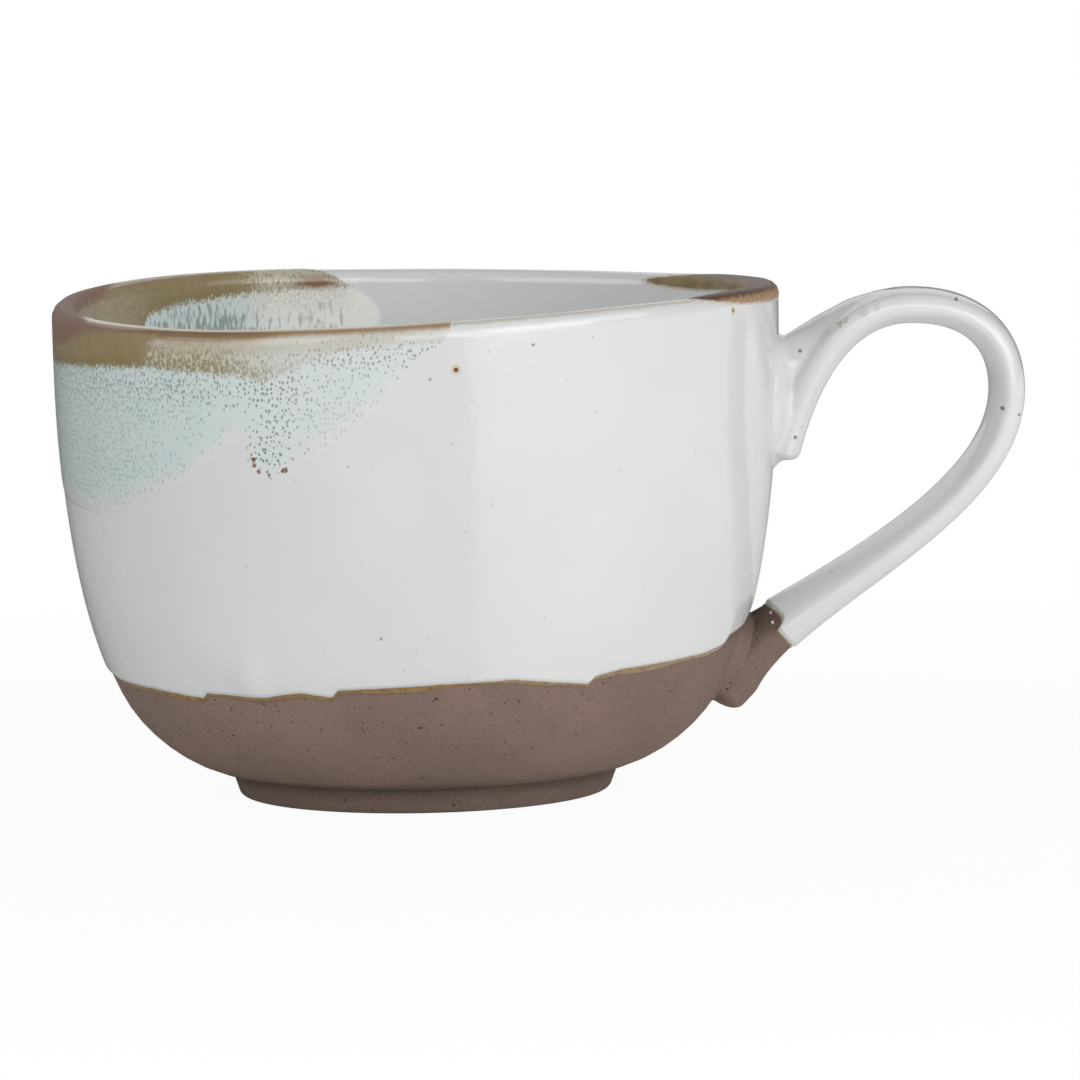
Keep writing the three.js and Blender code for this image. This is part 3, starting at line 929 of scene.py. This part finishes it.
# Handle: a pulled strap with a web behind its upper end, pads of clay at both roots
handleShape = {
    "tail": (0.053, 0.0475),  # middle of the strap: distance from the bowl's axis, height
    "tailSlope": 77.8,
    "crown": (0.0713, 0.0691),
    "reach": (0.0854, 0.057),
    "heel": (0.0447, 0.0172),
    "heelSlope": 46.2,
    "riseArms": (0.425, 0.347),
    "fallArms": (0.473, 0.419),
    "returnArms": (0.308, 0.26),
    "heelRun": 0.0055,  # of the end that is pushed into the wall
    "thickness": 0.0043,  # of clay, as the sizes below
    "width": 0.0127,
    "tailThickness": 0.0033,
    "heelThickness": 0.0103,
    "heelWidth": 0.0148,
    "tailTaper": 0.012,
    "heelTaper": 0.0115,
    "tailRound": 0.0013,
    "heelRound": 0.0026,
    "flatness": 0.7,  # 0 for an oval section, 1 for flat faces with round edges
    "ridge": 1.4,  # more for a softer ridge between the two faces
    "narrow": (0.15, 0.66),  # shares by which the inner face is narrower, at the crown and below
    "rings": 170,
    "sides": 48,
    "voxel": 0.00035,
}
webShape = {  # a short arm from the wall to the crown: its middle line, half height and half width
    "line": [(0.0506, 0.0591), (0.05564, 0.06233), (0.05975, 0.06522), (0.0638, 0.06748), (0.06767, 0.06883),
             (0.0713, 0.06915)],
    "high": [0.003, 0.003, 0.0026, 0.0024, 0.0021, 0.0017],
    "wide": [0.0046, 0.0044, 0.0048, 0.0053, 0.0056, 0.0052],
    "narrow": 0.35,  # share by which the arm is narrower on top
    "rings": 40,
    "fill": 0.0025,  # half width of the thinner wall below the arm
    "fillRun": (0.027, 0.006),  # along the strap, from its upper end
}
upperPadShape = {"height": 0.0556, "span": 0.02, "width": 0.018, "depth": 0.0027, "sink": 0.0012}
lowerPadShape = {"height": 0.0187, "span": 0.0136, "width": 0.0185, "depth": 0.0022, "sink": 0.0012}
patchShape = {  # a piece of the wall itself, for the roots to flow into
    "upper": (0.043, 0.0672),
    "lower": (0.0075, 0.027),
    "halfAngle": 17,
    "under": 0.00012,
    "thickness": 0.0013,
    "cuts": 60,
    "depth": 0.0018,  # no root goes deeper into the wall
}
rootShape = {  # passes of smoothing, and more of them near the wall: between which heights, and how far out
    "handle": {"passes": 3, "more": 10, "low": 0.043, "high": 0.075, "reach": 0.02},
    "coat": {"passes": 4, "more": 10, "low": 0.0435, "high": 0.075, "reach": 0.02},
    "lower": {"passes": 3, "more": 12, "low": 0.008, "high": 0.0265, "reach": 0.005},
    "lowerInset": 0.0001,  # of the lower pad's copy of the strap under the strap itself
    "lowerTop": 0.0272,
    "soft": 0.001,  # height over which the smoothing sets in
}


def makeStrapLine():
    h = handleShape
    back = h["heelSlope"] - 180
    heel = np.array(h["heel"])
    return np.concatenate([
        bend(h["tail"], h["tailSlope"], h["crown"], 0, h["riseArms"]),
        bend(h["crown"], 0, h["reach"], -90, h["fallArms"])[1:],
        bend(h["reach"], -90, heel, back, h["returnArms"])[1:],
        np.linspace(heel, heel + h["heelRun"] * heading(back), 40)[1:],
    ])


strapLine = makeStrapLine()
strapRun = runsOf(strapLine)
strapAlong = headings(strapLine, strapRun)
heelAt = strapRun[-1] - handleShape["heelRun"]
crownAt, reachAt = strapRun[strapLine[:, 1].argmax()], strapRun[strapLine[:, 0].argmax()]


def strapStation(run):  # middle, direction, outward normal, thickness and width
    h = handleShape
    held = np.clip(run, 0, strapRun[-1])
    along = follow(held, strapRun, strapAlong)
    middle = follow(held, strapRun, strapLine) + along * (run - held)[..., None]
    nearTail = np.exp(-np.maximum(run, 0) / h["tailTaper"])
    nearHeel = np.exp(-np.maximum(heelAt - run, 0) / h["heelTaper"])
    thickness = (h["thickness"] + (h["tailThickness"] - h["thickness"]) * nearTail
                 + (h["heelThickness"] - h["thickness"]) * nearHeel)
    width = h["width"] + (h["heelWidth"] - h["width"]) * nearHeel
    return middle, along, leftOf(along), thickness, width


def sweepBar(rings, station):  # a bar of extruded rings, bent to its stations
    h = handleShape
    bpy.ops.object.select_all(action="DESELECT")
    bpy.ops.mesh.primitive_circle_add(vertices=h["sides"], radius=0.001, fill_type="NGON")
    bar = bpy.context.object
    editAll()
    for ring in range(rings):
        bpy.ops.mesh.extrude_region_move(TRANSFORM_OT_translate={"value": (0, 0, 0.001)})
    bpy.ops.object.mode_set(mode="OBJECT")
    spots = points(bar)
    middle, normal, high, wide, narrowOuter, narrowInner = station(spots[:, 2] / (0.001 * rings))
    turn = np.arctan2(spots[:, 1], spots[:, 0])
    flat = h["flatness"]
    side = wide * ((1 - flat) * np.sin(turn) + flat * np.tanh(2 * np.sin(turn)) / math.tanh(2))
    lean = np.cos(turn)
    side *= 1 - narrowOuter * np.clip(lean, 0, 1) - narrowInner * np.clip(-lean, 0, 1) ** h["ridge"]
    spot = middle + normal * (high * lean)[:, None]
    movePoints(bar, np.stack([axisX + spot[:, 0], side, spot[:, 1]], 1))
    editAll()
    closeMesh()
    return bar


def sweepStrap(grow):
    h = handleShape

    def station(share):
        share = 0.6 * share + 0.2 * (1 - np.cos(math.pi * share))  # rings closer together near the ends
        run = share * (strapRun[-1] + 2 * grow) - grow
        middle, along, normal, thickness, width = strapStation(run)
        back = np.maximum(1 - (run + grow) / h["tailRound"], 1 - (strapRun[-1] + grow - run) / h["heelRound"])
        rounding = np.sqrt(1 - np.clip(back, 0, 0.97) ** 2)
        narrow = np.interp(run, (crownAt, reachAt), h["narrow"])
        return middle, normal, (thickness / 2 + grow) * rounding, (width / 2 + grow) * rounding, 0, narrow

    return sweepBar(h["rings"], station)


def makeArm(grow):
    line = np.array(webShape["line"])
    runs = runsOf(line)
    fine = np.linspace(0, runs[-1], 200)
    smooth = follow(fine, runs, line)
    along = headings(smooth, fine)

    def station(share):
        run = share * runs[-1]
        high, wide = [np.interp(run, runs, webShape[name]) + grow for name in ("high", "wide")]
        return follow(run, fine, smooth), leftOf(follow(run, fine, along)), high, wide, webShape["narrow"], 0

    return sweepBar(webShape["rings"], station)


def makeFill(grow):  # closes the corner between the wall, the arm and the strap
    w = webShape
    low = strapStation(np.linspace(*w["fillRun"], 8))[0]
    outline = [*w["line"][:-1], *low, (w["line"][0][0], low[-1][1])]
    half = w["fill"] + grow
    fill = drawLine("fill", [(axisX + across, -half, up) for across, up in outline])
    bpy.ops.mesh.edge_face_add()
    bpy.ops.mesh.extrude_region_move(TRANSFORM_OT_translate={"value": (0, 2 * half, 0)})
    closeMesh()
    return fill


def makePad(shape, grow):  # a flat cushion, more than half sunk in the wall
    run = runAtHeight(shape["height"])
    across, up = onSkin(run, -shape["sink"])
    out = follow(run, skinRun, skinOut)
    bpy.ops.object.select_all(action="DESELECT")
    bpy.ops.mesh.primitive_uv_sphere_add(segments=64, ring_count=32, radius=1)
    pad = bpy.context.object
    pad.scale = (shape["depth"] + shape["sink"] + grow, shape["width"] / 2 + grow, shape["span"] / 2 + grow)
    pad.rotation_euler.y = -math.atan2(out[1], out[0])
    pad.location = (axisX + across, 0, up)
    bpy.ops.object.transform_apply()
    return pad


def makePatch(span):
    p = patchShape
    patch = startGrid("patch", p["cuts"], p["cuts"])
    across, up = points(patch).T[:2]
    low, high = span
    run = runAtHeight(low + (high - low) * (up + 1) / 2)
    layOnSkin(patch, run, -p["under"], across * math.radians(p["halfAngle"]))
    applyModifier(patch, "SOLIDIFY", thickness=p["thickness"], offset=-1)
    return patch


def wallRadius(height):
    return np.interp(runAtHeight(height), skinRun, skin[:, 0])


def blendParts(name, parts, root):  # one skin over all the parts, melted together
    selectOnly(*parts)
    bpy.ops.object.join()
    piece = nameActive(name)
    spots = points(piece)
    deepest = wallRadius(spots[:, 2]) - patchShape["depth"]
    outwards = np.maximum(deepest / np.maximum(fromAxis(spots), 0.001), 1)
    spots[:, 0] = axisX + (spots[:, 0] - axisX) * outwards
    spots[:, 1] *= outwards
    movePoints(piece, spots)
    applyModifier(piece, "REMESH", mode="VOXEL", voxel_size=handleShape["voxel"])
    spots = points(piece)
    height = spots[:, 2]
    near = smoothStep(fromAxis(spots) - wallRadius(height), root["reach"], 0.4 * root["reach"])
    soft = rootShape["soft"]
    near *= within(height, [(root["low"] - soft, root["low"]), (root["high"] + soft, root["high"])])
    group = piece.vertex_groups.new(name="root")
    for weight in range(1, 11):
        chosen = np.flatnonzero(np.round(near * 10) == weight)
        group.add(chosen.tolist(), weight / 10, "REPLACE")
    applyModifier(piece, "SMOOTH", factor=0.5, iterations=root["more"], vertex_group="root")
    applyModifier(piece, "SMOOTH", factor=0.5, iterations=root["passes"])
    piece.vertex_groups.clear()
    return piece


def strapPlace(piece, grow):  # how far along the strap each vertex lies, and its turn round the section
    spots = points(piece)
    flat = np.stack([spots[:, 0] - axisX, spots[:, 2]], 1)
    nearest = np.concatenate([
        ((part[:, None, :] - strapLine[None, :, :]) ** 2).sum(2).argmin(1)
        for part in np.array_split(flat, max(1, len(flat) // 4000))])
    run = strapRun[nearest]
    middle, along, normal, thickness, width = strapStation(run)
    run = run + ((flat - middle) * along).sum(1)
    across = ((flat - middle) * normal).sum(1) / (thickness / 2 + grow)
    side = -spots[:, 1] / (width / 2 + grow)
    return run, np.degrees(np.arctan2(across, side))


handleMarks = [  # distance from the axis, height and radius, in millimetres, on the near side
    (55.4, 63.1, 0.3), (54.4, 50.8, 0.3), (78, 70.2, 0.28), (84.4, 54.3, 0.33), (86.8, 53.3, 0.25),
]
handleStreaks = [  # the same, with a strength
    (60.9, 67.0, 0.5, 0.55), (62.1, 67.5, 0.35, 0.35), (64.6, 68.6, 0.9, 0.2), (66.6, 69.5, 0.8, 0.18),
]


def makeHandleWhite():
    material, flow, shader, place = startMaterial("handle_glaze")
    edge, worn = attributes(flow, "fromEdge", "worn")
    drawn = place.noise(0.5, 2)
    ragged = (place.noise(1.4, 2) - 0.5) * 3
    near = place.axis(1).step(-1, -3)
    front = place.stretched(1, 0, 1)
    tone = (worn * (drawn.step(0.25, 0.75) * 0.35 + 0.15)).over(whiteTone(flow, place), glazeLook["thin"])
    for across, height, size, strength in handleStreaks:
        gap = front.gapTo(sideSpot(across, height)) + ragged
        tone = (gap.step(size, 0.3 * size) * near * strength).over(tone, glazeLook["streak"])
    for across, height, size in handleMarks:
        gap = front.gapTo(sideSpot(across, height))
        tone = (gap.step(1.3 * size, 0.5 * size) * near * 0.85).over(tone, glazeLook["mark"])
    tone = amberEdge(place, tone, edge, 0.12)
    finishGlaze(flow, shader, place, tone, glazeLook["roughness"], 0.8)
    return material


def makeHandle():
    handle = blendParts("clay_handle", [sweepStrap(0), makeArm(0), makeFill(0)], rootShape["handle"])
    finishPiece(handle, clay, "clay", "handle")


def makeLowerLute():
    grow = -rootShape["lowerInset"]
    parts = [sweepStrap(grow), makePad(lowerPadShape, grow), makePatch(patchShape["lower"])]
    lute = blendParts("lower_root", parts, rootShape["lower"])
    cutOff((0, 0, rootShape["lowerTop"]), (0, 0, 1))
    finishPiece(lute, clay, "slip", "lower_lute")


heelEdge = [  # turn round the strap from its near side, outwards, and how far above the heel the glaze ends
    (-180, 0.0094), (-120, 0.0088), (-90, 0.0095), (-68, 0.0098), (-50, 0.0101), (-28, 0.0104), (-14, 0.01),
    (-5, 0.0088), (45, 0.0091), (90, 0.0087), (135, 0.0095), (180, 0.0094),
]
handleGlazeShape = {
    "thickness": 0.00045,
    "film": 0.00012,  # thickness of the amber edge
    "under": 0.0002,  # how deep the coat's end lies in the clay
    "roll": (0.0006, -0.00005),  # from full thickness down to the film
    "amber": 0.0003,
    "tuck": 0.0002,  # run over which the end goes under
    "cutAt": 0.004,
    "fineZone": 0.0022,
    "wornTurn": ((35, 75), (175, 120)),  # where the outer face is worn: round the strap, and along it
    "wornRun": ((0.012, 0.03), (0.104, 0.085)),
}


def makeHandleGlaze():
    g = handleGlazeShape
    grow = g["thickness"]
    parts = [sweepStrap(grow), makeArm(grow), makeFill(grow), makePad(upperPadShape, grow),
             makePatch(patchShape["upper"])]
    coat = blendParts("handle_coat", parts, rootShape["coat"])
    middle, along = strapStation(np.array(heelAt - g["cutAt"]))[:2]
    cutOff((axisX + middle[0], 0, middle[1]), (along[0], 0, along[1]))
    run, turn = strapPlace(coat, grow)
    chosen = np.abs(heelAt - run - reading(heelEdge, turn)) < g["fineZone"]
    mesh = coat.data
    faces = np.array([chosen[list(face.vertices)].all() for face in mesh.polygons])
    mesh.polygons.foreach_set("select", faces)
    bpy.ops.object.mode_set(mode="EDIT")
    bpy.ops.mesh.select_mode(type="FACE")
    bpy.ops.mesh.subdivide(number_cuts=2, smoothness=0)
    bpy.ops.object.mode_set(mode="OBJECT")
    run, turn = strapPlace(coat, grow)
    above = heelAt - run - reading(heelEdge, turn)
    out = np.empty(len(mesh.vertices) * 3)
    mesh.vertices.foreach_get("normal", out)
    sunk = (g["thickness"] - g["film"]) * smoothStep(above, *g["roll"])
    sunk += (g["film"] + g["under"]) * smoothStep(above, -g["amber"], -g["amber"] - g["tuck"])
    movePoints(coat, points(coat) - out.reshape(-1, 3) * sunk[:, None])
    keepAttribute(coat, "fromEdge", 1000 * above)
    keepAttribute(coat, "worn", within(turn, g["wornTurn"]) * within(run, g["wornRun"]))
    finishPiece(coat, makeHandleWhite(), "white_glaze", "handle_glaze")


makeHandle()
makeLowerLute()
makeHandleGlaze()
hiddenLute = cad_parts["upper_lute"]
hiddenLute.data.materials.clear()
hiddenLute.data.materials.append(clay)

# Light: a dim even surround, large soft panels and a pale floor that glows, with a painted reflection of a
# white sheet
lightPlan = {
    "surround": 0.22,
    "panels": {  # place, size and power
        "key": ((0.53, -1.17, 0.26), (1.6, 0.8), 7.1),  # a low soft box in front, to the right
        "right": ((0.89, -0.76, 0.59), (1.4, 0.8), 5),
        "left": ((-1.04, -0.6, 0.56), (1.4, 0.8), 5),
        "back": ((-0.2, 1.25, 0.7), (1.6, 0.9), 3.5),
    },
    "aimHeight": 0.04,
    "floorSize": 14,
    "floorGap": 0.00005,
    "floor": colour(243, 243, 242),
    "floorGlow": 0.22,  # the floor's own glow, which lights the cup from below, as a share of white
    "seenGlow": 0.95,  # the same as the camera sees it, near the cup
    "farFrom": (90, 300),  # millimetres from the axis over which that rises to white
    "mirrorGlow": 0.12,  # painted reflection: the table as the glaze mirrors it glows dimly, and glows white like a sheet between these angles
    "reflectedSheetEdge": 286,
    "reflectedSheetEnd": 60,
    "edgeSoft": 3,  # millimetres, as the next
    "endSoft": 250,
}


def addPanel(name, spot, size, power):
    aim = Vector((axisX, 0, lightPlan["aimHeight"]))
    lamp = bpy.data.lights.new(name, "AREA")
    lamp.shape = "RECTANGLE"
    lamp.size, lamp.size_y = size
    lamp.energy = power
    panel = bpy.data.objects.new(name, lamp)
    panel.location = spot
    panel.rotation_euler = (aim - Vector(spot)).to_track_quat("-Z", "Y").to_euler()
    bpy.context.scene.collection.objects.link(panel)


def makeSurround():
    world = bpy.data.worlds.new("white_surround")
    world.use_nodes = True
    flow = Flow(world.node_tree)
    seen = flow.node("ShaderNodeLightPath", output="Is Camera Ray")
    strength = seen * (1 - lightPlan["surround"]) + lightPlan["surround"]
    plug(flow, world.node_tree.nodes["Background"], Color=(1, 1, 1, 1), Strength=strength)
    bpy.context.scene.world = world


def makeFloor():
    p = lightPlan
    floor = startPiece("floor")
    floor.scale = (1000 * p["floorSize"],) * 3
    floor.location.z = -p["floorGap"]
    bpy.ops.object.transform_apply()
    material, flow, shader, place = startMaterial("pale_glowing_floor")
    plug(flow, shader, Base_Color=p["floor"], Roughness=0.9, Specular_IOR_Level=0.1)
    rays = ("Is Camera Ray", "Is Glossy Ray")
    seen, mirrored = [flow.node("ShaderNodeLightPath", output=ray) for ray in rays]
    x, y = place.axis(0) - 1000 * axisX, place.axis(1)
    far = flow.math("SQRT", x * x + y * y).step(*p["farFrom"])
    # painted reflection: a glowing white sheet on the floor that only glossy rays see
    start, end = math.radians(p["reflectedSheetEdge"]), math.radians(p["reflectedSheetEnd"])
    sheet = (y * math.cos(start) - x * math.sin(start)).step(-p["edgeSoft"], p["edgeSoft"])
    sheet = sheet * (x * math.sin(end) - y * math.cos(end)).step(-p["endSoft"], p["endSoft"])
    whole = p["seenGlow"] + far * (1 - p["seenGlow"])
    share = p["floorGlow"] + seen * (whole - p["floorGlow"])
    glow, dim = [flow.node("ShaderNodeEmission", {}, {"Color": (1, 1, 1, 1), "Strength": level})
                 for level in (1.0, p["mirrorGlow"])]
    surface = flow.node("ShaderNodeMixShader", {}, {0: share, 1: Flow(flow.tree, shader.outputs[0]), 2: glow})
    mirror = flow.node("ShaderNodeMixShader", {}, {0: sheet, 1: dim, 2: glow})
    surface = flow.node("ShaderNodeMixShader", {}, {0: mirrored, 1: surface, 2: mirror})
    flow.tree.links.new(surface.socket, flow.tree.nodes["Material Output"].inputs["Surface"])
    floor.data.materials.append(material)


makeSurround()
makeFloor()
for name, panel in lightPlan["panels"].items():
    addPanel(name + "_light", *panel)
bpy.context.scene.view_settings.view_transform = "Standard"
print("light set")

bpy.context.view_layer.update()
